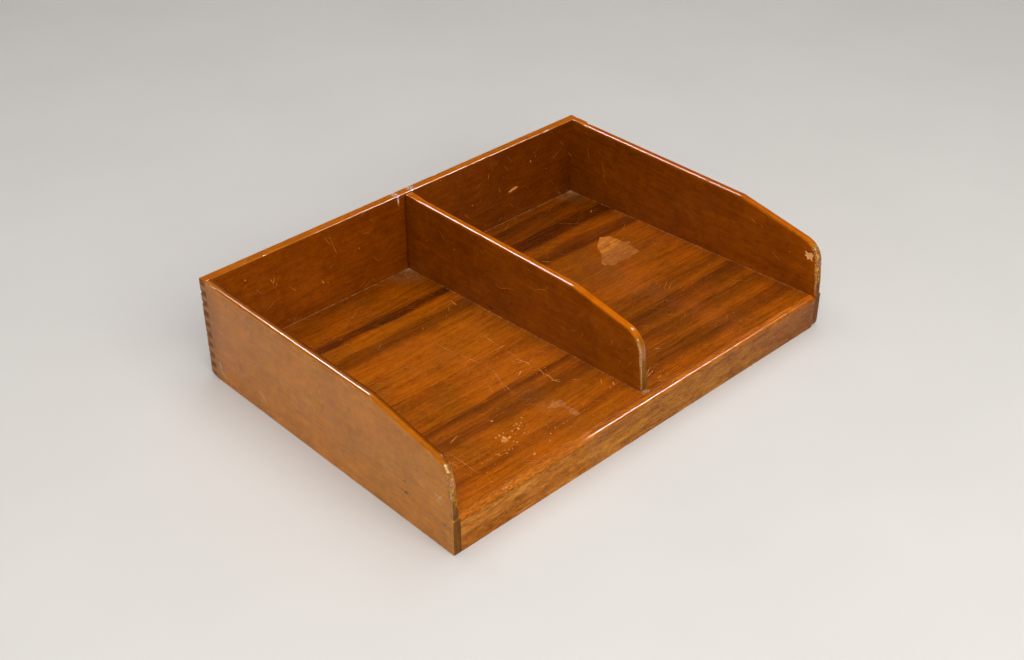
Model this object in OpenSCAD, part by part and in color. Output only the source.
// Two-compartment timber desk tray for letters and foolscap folders.
// Comb-jointed sides and back, a housed centre divider, and a floor panel
// that falls towards the back so that papers stay in the open-fronted bays.
// Frame: +X to the right along the front, +Y from front to back, +Z up.
// Origin: centre of the base. Millimetres.

/* [Overall] */
// Width over the two side boards
tray_w = 510; // [440:1:600]
// Depth from the front end grain to the outer back face
tray_d = 365; // [320:1:420]
// Height of the side and back boards
tray_h = 114; // [104:1:130]

/* [Boards] */
// Thickness of each side board
side_t = 8.5; // [7:0.5:12]
// Thickness of the back board
back_t = 10; // [8:0.5:14]
// Thickness of the centre divider
divider_t = 8.5; // [7:0.5:12]
// How far the divider's top lies below the tops of the sides
divider_drop = 1.5; // [0:0.5:4]
// Depth of the divider's housing in the back board
housing_depth = 3; // [2:0.5:4]
// Solid wood left above the divider's stopped housing
housing_stop = 8; // [4:1:14]

/* [Profile of the sides and divider] */
// Distance from the front at which the level top starts to fall
slope_start = 106.5; // [90:0.5:130]
// Fall of the sloping top, in degrees
slope_angle = 10.2; // [7:0.2:12]
// Radius of the rounded nose
nose_r = 24; // [16:1:28]
// Backward lean of the front edge above its square foot, in degrees
front_lean = 5; // [1:0.5:7]
// Height of the square foot of each side's front edge
foot_h = 45; // [42:1:50]
// Radius of the round-over along the top and front arrises
round_r = 3; // [1:0.5:3.25]
// Radius of the round-over along the divider's arrises
divider_r = 2.5; // [1:0.5:3.25]
// Length of the square arris left at the back end of each round-over
square_len = 24; // [18:1:40]
// Pilot radius of the round-over bit, which sets the length of the run-out
pilot_r = 12; // [6:1:16]
// Distance of the divider's front edge behind the tray's front
divider_setback = 15.5; // [12:0.5:30]

/* [Front rail and floor] */
// Height of the front rail, flush with the floor's front edge
rail_h = 37; // [32:1:40]
// Thickness of the rail below its rebate
rail_t = 18; // [15:1:22]
// Width of the rail's top, in front of the floor's rebate
rail_lip = 9; // [7:0.5:11]
// Radius of the rail's front top arris
rail_r = 3.5; // [1:0.5:5]
// Height of the floor's top at the outer back face
floor_back_z = 20.7; // [18:0.1:24]
// Thickness of the floor panel
floor_t = 6; // [4:0.5:6.5]
// Depth of the floor's grooves in the sides
groove_d = 3.5; // [2:0.5:4]

/* [Comb joints] */
// Number of fingers over the height of each corner, an odd number
finger_n = 19; // [11:2:21]

/* [Bearer and glue blocks] */
// Width of the bearer under the divider
bearer_w = 24; // [18:1:32]
// Depth of the bearer under the divider
bearer_h = 11; // [9:0.5:12]
// Leg of a triangular glue block
block_leg = 11; // [8:0.5:12]
// Length of a glue block
block_len = 45; // [30:1:60]

/* [Fastenings] */
// Shank diameter of the wood screws
screw_d = 3.5; // [3:0.5:4]
// Length of the wood screws
screw_len = 28; // [25:1:32]
// Diameter of the panel pins
pin_d = 1.6; // [1.2:0.1:2]
// Length of the panel pins
pin_len = 30; // [25:1:38]
// Depth to which the pin heads are punched below the surface
pin_sink = 1.2; // [0.5:0.1:2]

/* [Hidden] */

$fn = 96;

// Fits and overlaps
eps = 0.02;
over = 1;             // how far cutters pass a surface, and joined shapes overlap
glue = 0.03;          // glue line round housed parts
ease = 0.05;          // how far a rounding's arc stands proud of its tangents
hole_slack = 0.04;    // a hole's diameter over its fastening's
end_slack = 0.5;      // depth of a pilot hole beyond its fastening's point
tongue_slack = 0.3;   // floor's rear edge to the bottom of its groove

// Main planes. A "depth" is a distance behind the tray's front
front_y = -tray_d/2;
back_y = tray_d/2;
side_x = tray_w/2 - side_t/2;    // middle of a side's thickness
in_x = tray_w/2 - side_t;        // inner face of a side
in_y = back_y - back_t;          // inner face of the back
in_depth = tray_d - back_t;      // the same face, as a depth
finger_h = tray_h/finger_n;

// Floor and bearer; the upright sizes are measured along Z
floor_a = atan((rail_h - floor_back_z)/tray_d);
floor_upright = floor_t/cos(floor_a);
bearer_upright = bearer_h/cos(floor_a);
groove_end = in_depth + groove_d;    // bottom of the back board's groove

// Divider
divider_top = tray_h - divider_drop;
divider_slope_start = slope_start + 2;
divider_end = in_depth + housing_depth;
housing_top = divider_top - housing_stop;

// Round-overs and nose; directions are [depth, height]
run_out = sqrt(pow(pilot_r + round_r, 2) - pow(pilot_r, 2));
round_back = tray_d - square_len - run_out;    // depth where the level runs stop
nose_tangent = nose_r/tan((90 + slope_angle + front_lean)/2);    // corner to tangent point
slope_dir = [-cos(slope_angle), -sin(slope_angle)];    // forward, down the slope
lean_dir = [-sin(front_lean), -cos(front_lean)];       // down the front edge
bend_lap = 1;    // overlap of the round-over's runs at the start of the slope
nose_lap = 3;    // overlap of the straight runs with the nose's

// Places of the fastenings and glue blocks
screw_depths = [for (part = [0.10, 0.36, 0.64, 0.88]) part*tray_d];
rail_pin_depth = 11;
rail_pin_z = [10, 28];
divider_pin_z = [38, 66, 94];
side_block_depths = [for (part = [0.24, 0.52, 0.80]) part*tray_d];
cross_block_x = [for (part = [0.14, 0.34]) part*tray_w];
block_edge = 2;    // width of a glue block's lower edge

// Details of the fastenings
head_d = 2*screw_d;
head_h = screw_d/2;
head_inset = 0.3;    // screw head below the bearer's underside
slot_w = 0.8;
slot_h = 0.8;
screw_point_len = 4;
screw_tip_d = 0.5;
pin_point_len = 2.5;
pin_tip_d = 0.3;
screw_hole_d = screw_d + hole_slack;
head_hole_d = head_d + hole_slack;
pin_hole_d = pin_d + hole_slack;

stained = [0.48, 0.24, 0.09];
dark_stain = [0.40, 0.19, 0.07];
rail_stain = [0.55, 0.36, 0.16];
raw_wood = [0.66, 0.50, 0.32];
steel = [0.55, 0.54, 0.52];
brass = [0.66, 0.52, 0.25];
filler = [0.36, 0.20, 0.10];

// ---- Profiles and the floor's line, drawn as [depth, height] ----

// Heights of the floor's top and underside
function floor_z(depth) = rail_h - depth*tan(floor_a);
function under_z(depth) = floor_z(depth) - floor_upright;

// Where the sloping top, extended, meets the leaning front edge, extended
function corner(setback, start, top) =
    let (depth = (setback + (top - start*tan(slope_angle) - foot_h)*tan(front_lean))
                 / (1 - tan(slope_angle)*tan(front_lean)))
    [depth, top - (start - depth)*tan(slope_angle)];

// The nose's tangent points and centre
function nose_top(setback, start, top) =
    corner(setback, start, top) - nose_tangent*slope_dir;
function nose_front(setback, start, top) =
    corner(setback, start, top) + nose_tangent*lean_dir;
function nose_centre(setback, start, top) =
    nose_top(setback, start, top) + nose_r*[sin(slope_angle), -cos(slope_angle)];

// Puts a profile on edge, with the middle of its thickness at x
module upright(x, thick)
    translate([x + thick/2, front_y, 0]) rotate([0, -90, 0])
        linear_extrude(height = thick) mirror([1, -1, 0]) children();

// Lays children along the floor: their origin goes to the floor's underside
// at a depth, and they tilt with the floor
module under_floor(x, depth)
    translate([x, front_y + depth, under_z(depth)])
        rotate([-floor_a, 0, 0]) children();

// The floor's section between two depths. The gaps shorten its ends, and
// play widens it above and below
module floor_section(front, rear, front_gap = 0, rear_gap = 0, play = 0)
    polygon([[front + front_gap, floor_z(front) + play],
             [rear - rear_gap, floor_z(rear) + play],
             [rear - rear_gap, under_z(rear) - play],
             [front + front_gap, under_z(front) - play]]);

// A board's profile: level top, slope, round nose, leaning front edge
module board_outline(setback, start, top, end) {
    centre = nose_centre(setback, start, top);
    to_top = nose_top(setback, start, top) - centre;
    to_front = nose_front(setback, start, top) - centre;
    reach = 1.4;    // carries the nose's cutter past the corner
    difference() {
        polygon([[setback, 0], [end, 0], [end, top], [start, top],
                 corner(setback, start, top), [setback, foot_h]]);
        difference() {
            polygon([centre, centre + reach*to_top,
                     centre + reach*(to_top + to_front), centre + reach*to_front]);
            translate(centre) circle(r = nose_r + ease);
        }
    }
}

// ---- Round-overs ----
// Each waste lies on the arris of the face at face_x, which looks along
// side: 1 for +X, -1 for -X

// The waste's section: the corner at the origin, the wood at -x -y
module arris_waste(radius)
    difference() {
        translate([ease - radius, ease - radius]) square(radius + over);
        translate([ease - radius, ease - radius]) circle(r = radius);
    }

// The router bit that leaves a round-over, its axis the pilot's radius above
// the edge it follows: it forms the curved run-out where a round-over stops
module router_bit(radius)
    rotate_extrude() difference() {
        translate([0, ease - radius]) square([pilot_r + radius - ease, radius + over]);
        translate([pilot_r + radius - ease, ease - radius]) circle(r = radius);
    }

// A straight run; the wood lies on the right of the line from start to end
module straight_waste(face_x, side, start, end, radius) {
    dir = (end - start)/norm(end - start);
    multmatrix([[side, 0, 0, face_x],
                [0, dir[1], dir[0], front_y + start[0]],
                [0, -dir[0], dir[1], start[1]],
                [0, 0, 0, 1]])
        linear_extrude(height = norm(end - start)) arris_waste(radius);
}

// The bit's solid where a run along the unit vector dir stops
module stop_waste(face_x, side, end, dir, radius) {
    axis = end + (pilot_r + ease)*[dir[1], -dir[0]];
    multmatrix([[0, 0, side, face_x],
                [dir[1], dir[0], 0, front_y + axis[0]],
                [-dir[0], dir[1], 0, axis[1]],
                [0, 0, 0, 1]])
        router_bit(radius);
}

// The run round the nose, from the sloping top to the leaning front edge
module nose_waste(face_x, side, centre, radius)
    multmatrix([[0, 0, side, face_x],
                [-sin(slope_angle), -cos(slope_angle), 0, front_y + centre[0]],
                [cos(slope_angle), -sin(slope_angle), 0, centre[1]],
                [0, 0, 0, 1]])
        rotate_extrude(angle = 90 - slope_angle - front_lean)
            translate([nose_r + ease, 0]) arris_waste(radius);

// All of a board's waste, on both faces. The front run stops at the height
// stop_z, with a run-out if that is above the square foot
module round_overs(x, thick, setback, start, top, stop_z, radius) {
    back_end = [round_back, top];
    bend = [start, top];
    nose_upper = nose_top(setback, start, top);
    nose_lower = nose_front(setback, start, top);
    front_end = nose_lower + (nose_lower[1] - stop_z)*[-tan(front_lean), -1];
    for (side = [-1, 1]) {
        face_x = x + side*thick/2;
        stop_waste(face_x, side, back_end, [-1, 0], radius);
        straight_waste(face_x, side, back_end, bend - [bend_lap, 0], radius);
        straight_waste(face_x, side, bend - bend_lap*slope_dir,
                       nose_upper + nose_lap*slope_dir, radius);
        nose_waste(face_x, side, nose_centre(setback, start, top), radius);
        straight_waste(face_x, side, nose_lower - nose_lap*lean_dir, front_end, radius);
        if (stop_z > foot_h) stop_waste(face_x, side, front_end, lean_dir, radius);
    }
}

// ---- Fastenings and their holes ----

// Screws: the origin at the bearer's underside, +Z square to the floor
module screw_places()
    for (depth = screw_depths)
        under_floor(0, depth) translate([0, 0, -bearer_h]) children();

// Rail pins of one side: the origin sunk below the side's outer face, +Z inward
module rail_pin_places(side, sink)
    for (z = rail_pin_z)
        translate([side*(tray_w/2 - sink), front_y + rail_pin_depth, z])
            rotate([0, -side*90, 0]) children();

// Divider pins: the origin sunk below the outer back face, +Z forward
module divider_pin_places(sink)
    for (z = divider_pin_z)
        translate([0, back_y - sink, z]) rotate([90, 0, 0]) children();

// Slotted countersunk wood screw, head down, point up
module wood_screw()
    difference() {
        union() {
            translate([0, 0, head_inset])
                cylinder(d1 = head_d, d2 = screw_d, h = head_h);
            translate([0, 0, head_inset + head_h - eps])
                cylinder(d = screw_d,
                         h = screw_len - head_h - head_inset - screw_point_len + eps);
            translate([0, 0, screw_len - screw_point_len])
                cylinder(d1 = screw_d, d2 = screw_tip_d, h = screw_point_len);
        }
        translate([-screw_d - over, -slot_w/2, 0])
            cube([2*(screw_d + over), slot_w, head_inset + slot_h]);
    }

// Panel pin: the head at the origin, the shank along +Z
module panel_pin() {
    shank_len = pin_len - pin_point_len;
    cylinder(d = pin_d, h = shank_len);
    translate([0, 0, shank_len - eps])
        cylinder(d1 = pin_d, d2 = pin_tip_d, h = pin_point_len);
}

module pin_pilot() cylinder(d = pin_hole_d, h = pin_len + end_slack);

// Pin hole right through a board, from the middle of its thickness
module pin_through(thick) cylinder(d = pin_hole_d, h = 2*thick, center = true);

// Coloured filler over a punched pin: a plug from the surface to the pin's head
module pin_plug() cylinder(d = pin_d, h = pin_sink - eps);

module divider_screws() color(brass) screw_places() wood_screw();
module divider_pins() color(steel) divider_pin_places(pin_sink) panel_pin();
module left_rail_pins() color(steel) rail_pin_places(-1, pin_sink) panel_pin();
module right_rail_pins() color(steel) rail_pin_places(1, pin_sink) panel_pin();
module left_rail_plugs() color(filler) rail_pin_places(-1, 0) pin_plug();
module right_rail_plugs() color(filler) rail_pin_places(1, 0) pin_plug();
module divider_pin_plugs() color(filler) divider_pin_places(0) pin_plug();

// ---- Boards ----

// The right-hand side board
module side_board()
    difference() {
        upright(side_x, side_t) board_outline(0, slope_start, tray_h, tray_d);
        // sockets for the back board's fingers, open at the board's edges
        for (i = [0 : 2 : finger_n - 1]) {
            below = i == 0 ? over : glue;
            above = i == finger_n - 1 ? over : glue;
            translate([side_x - side_t, in_y - glue, i*finger_h - below])
                cube([2*side_t, back_t + over, finger_h + below + above]);
        }
        // sloping groove for the floor panel, stopped at the back
        upright(in_x + groove_d/2 - eps, groove_d + 2*eps)
            floor_section(rail_lip, in_depth, rear_gap = glue, play = glue);
        rail_pin_places(1, side_t/2) pin_through(side_t);
        round_overs(side_x, side_t, 0, slope_start, tray_h,
                    foot_h + run_out + 1, round_r);
    }

module right_side() color(dark_stain) side_board();
module left_side() color(stained) mirror([1, 0, 0]) side_board();

module back_board()
    color(stained) difference() {
        union() {
            translate([-in_x, in_y, 0]) cube([2*in_x, back_t, tray_h]);
            // fingers at each end
            for (side = [-1, 1], i = [0 : 2 : finger_n - 1])
                translate([side > 0 ? in_x - over : -tray_w/2, in_y, i*finger_h])
                    cube([side_t + over, back_t, finger_h]);
        }
        // groove for the floor panel's back edge
        upright(0, 2*in_x - 2*eps)
            floor_section(in_depth - over, groove_end, play = glue);
        // stopped housing for the divider, from just below the floor's top
        housing_z = floor_z(tray_d) - 2;
        translate([-divider_t/2 - glue, in_y - over, housing_z])
            cube([divider_t + 2*glue, housing_depth + glue + over,
                  housing_top + glue - housing_z]);
        divider_pin_places(back_t/2) pin_through(back_t);
    }

module centre_divider()
    color(dark_stain) difference() {
        upright(0, divider_t)
            intersection() {
                board_outline(divider_setback, divider_slope_start,
                              divider_top, divider_end);
                // follows the sloping floor, and is notched under the housing's stop
                polygon([[0, floor_z(0)],
                         [in_depth - glue, floor_z(in_depth)],
                         [divider_end, floor_z(divider_end)],
                         [divider_end, housing_top],
                         [in_depth, housing_top],
                         [in_depth, tray_h + over],
                         [0, tray_h + over]]);
            }
        round_overs(0, divider_t, divider_setback, divider_slope_start,
                    divider_top, 0, divider_r);
        screw_places()
            translate([0, 0, bearer_h + floor_t - over])
                cylinder(d = screw_hole_d,
                         h = screw_len - bearer_h - floor_t + over + end_slack);
        divider_pin_places(pin_sink) pin_pilot();
    }

module front_rail() {
    arc_z = floor_z(rail_r) - rail_r;    // centre of the rounded top arris
    mid_z = rail_h/2;
    color(rail_stain) difference() {
        upright(0, 2*in_x) {
            polygon([[0, 0], [rail_t, 0],
                     [rail_t, under_z(rail_t)],
                     [rail_lip, under_z(rail_lip)],
                     [rail_lip, floor_z(rail_lip)],
                     [rail_r, floor_z(rail_r)],
                     [rail_r, rail_h - rail_r],
                     [0, rail_h - rail_r]]);
            intersection() {
                translate([rail_r, arc_z]) circle(r = rail_r);
                translate([-over, mid_z]) square([rail_r + over, rail_h]);
            }
            translate([0, mid_z]) square([rail_r, arc_z - mid_z]);
        }
        for (side = [-1, 1]) rail_pin_places(side, pin_sink) pin_pilot();
    }
}

module floor_panel()
    color(stained) difference() {
        union() {
            upright(0, 2*(in_x + groove_d) - 2*glue)
                floor_section(rail_lip, in_depth, front_gap = glue, rear_gap = 2*glue);
            // tongue in the back board's groove
            upright(0, 2*in_x - 6*glue)
                floor_section(in_depth - over, groove_end - tongue_slack);
        }
        screw_places() cylinder(d = screw_hole_d, h = screw_len);
    }

// ---- Bearer and glue blocks ----

// The bearer's ends are cut plumb to meet the rail and the back
module centre_bearer()
    color(raw_wood) difference() {
        upright(0, bearer_w)
            polygon([[rail_t, under_z(rail_t)],
                     [in_depth, under_z(in_depth)],
                     [in_depth, under_z(in_depth) - bearer_upright],
                     [rail_t, under_z(rail_t) - bearer_upright]]);
        // holes and countersinks
        screw_places() {
            translate([0, 0, -over]) cylinder(d = screw_hole_d, h = screw_len);
            translate([0, 0, -over]) cylinder(d = head_hole_d, h = over + head_inset);
            translate([0, 0, head_inset - eps])
                cylinder(d1 = head_hole_d, d2 = screw_hole_d, h = head_h + eps);
        }
    }

// Triangular blocks in the angle between the floor's underside and one side
module side_blocks(side)
    for (depth = side_block_depths)
        under_floor(side*in_x, depth) rotate([90, 0, 0]) translate([0, 0, -block_len/2])
            linear_extrude(height = block_len)
                polygon([[0, 0], [-side*block_leg, 0],
                         [-side*block_edge, -block_leg], [0, -block_leg]]);

// The same against a cross wall, reaching towards the back (dir = 1) or the
// front (dir = -1)
module cross_blocks(wall, dir)
    for (side = [-1, 1], x = cross_block_x)
        upright(side*x, block_len)
            polygon([[wall, under_z(wall)],
                     [wall + dir*block_leg, under_z(wall + dir*block_leg)],
                     [wall + dir*block_edge, under_z(wall) - block_leg],
                     [wall, under_z(wall) - block_leg]]);

module left_glue_blocks() color(raw_wood) side_blocks(-1);
module right_glue_blocks() color(raw_wood) side_blocks(1);
module front_glue_blocks() color(raw_wood) cross_blocks(rail_t, 1);
module rear_glue_blocks() color(raw_wood) cross_blocks(in_depth, -1);

left_side();
right_side();
back_board();
centre_divider();
front_rail();
floor_panel();
centre_bearer();
left_glue_blocks();
right_glue_blocks();
front_glue_blocks();
rear_glue_blocks();
divider_screws();
divider_pins();
left_rail_pins();
right_rail_pins();
left_rail_plugs();
right_rail_plugs();
divider_pin_plugs();
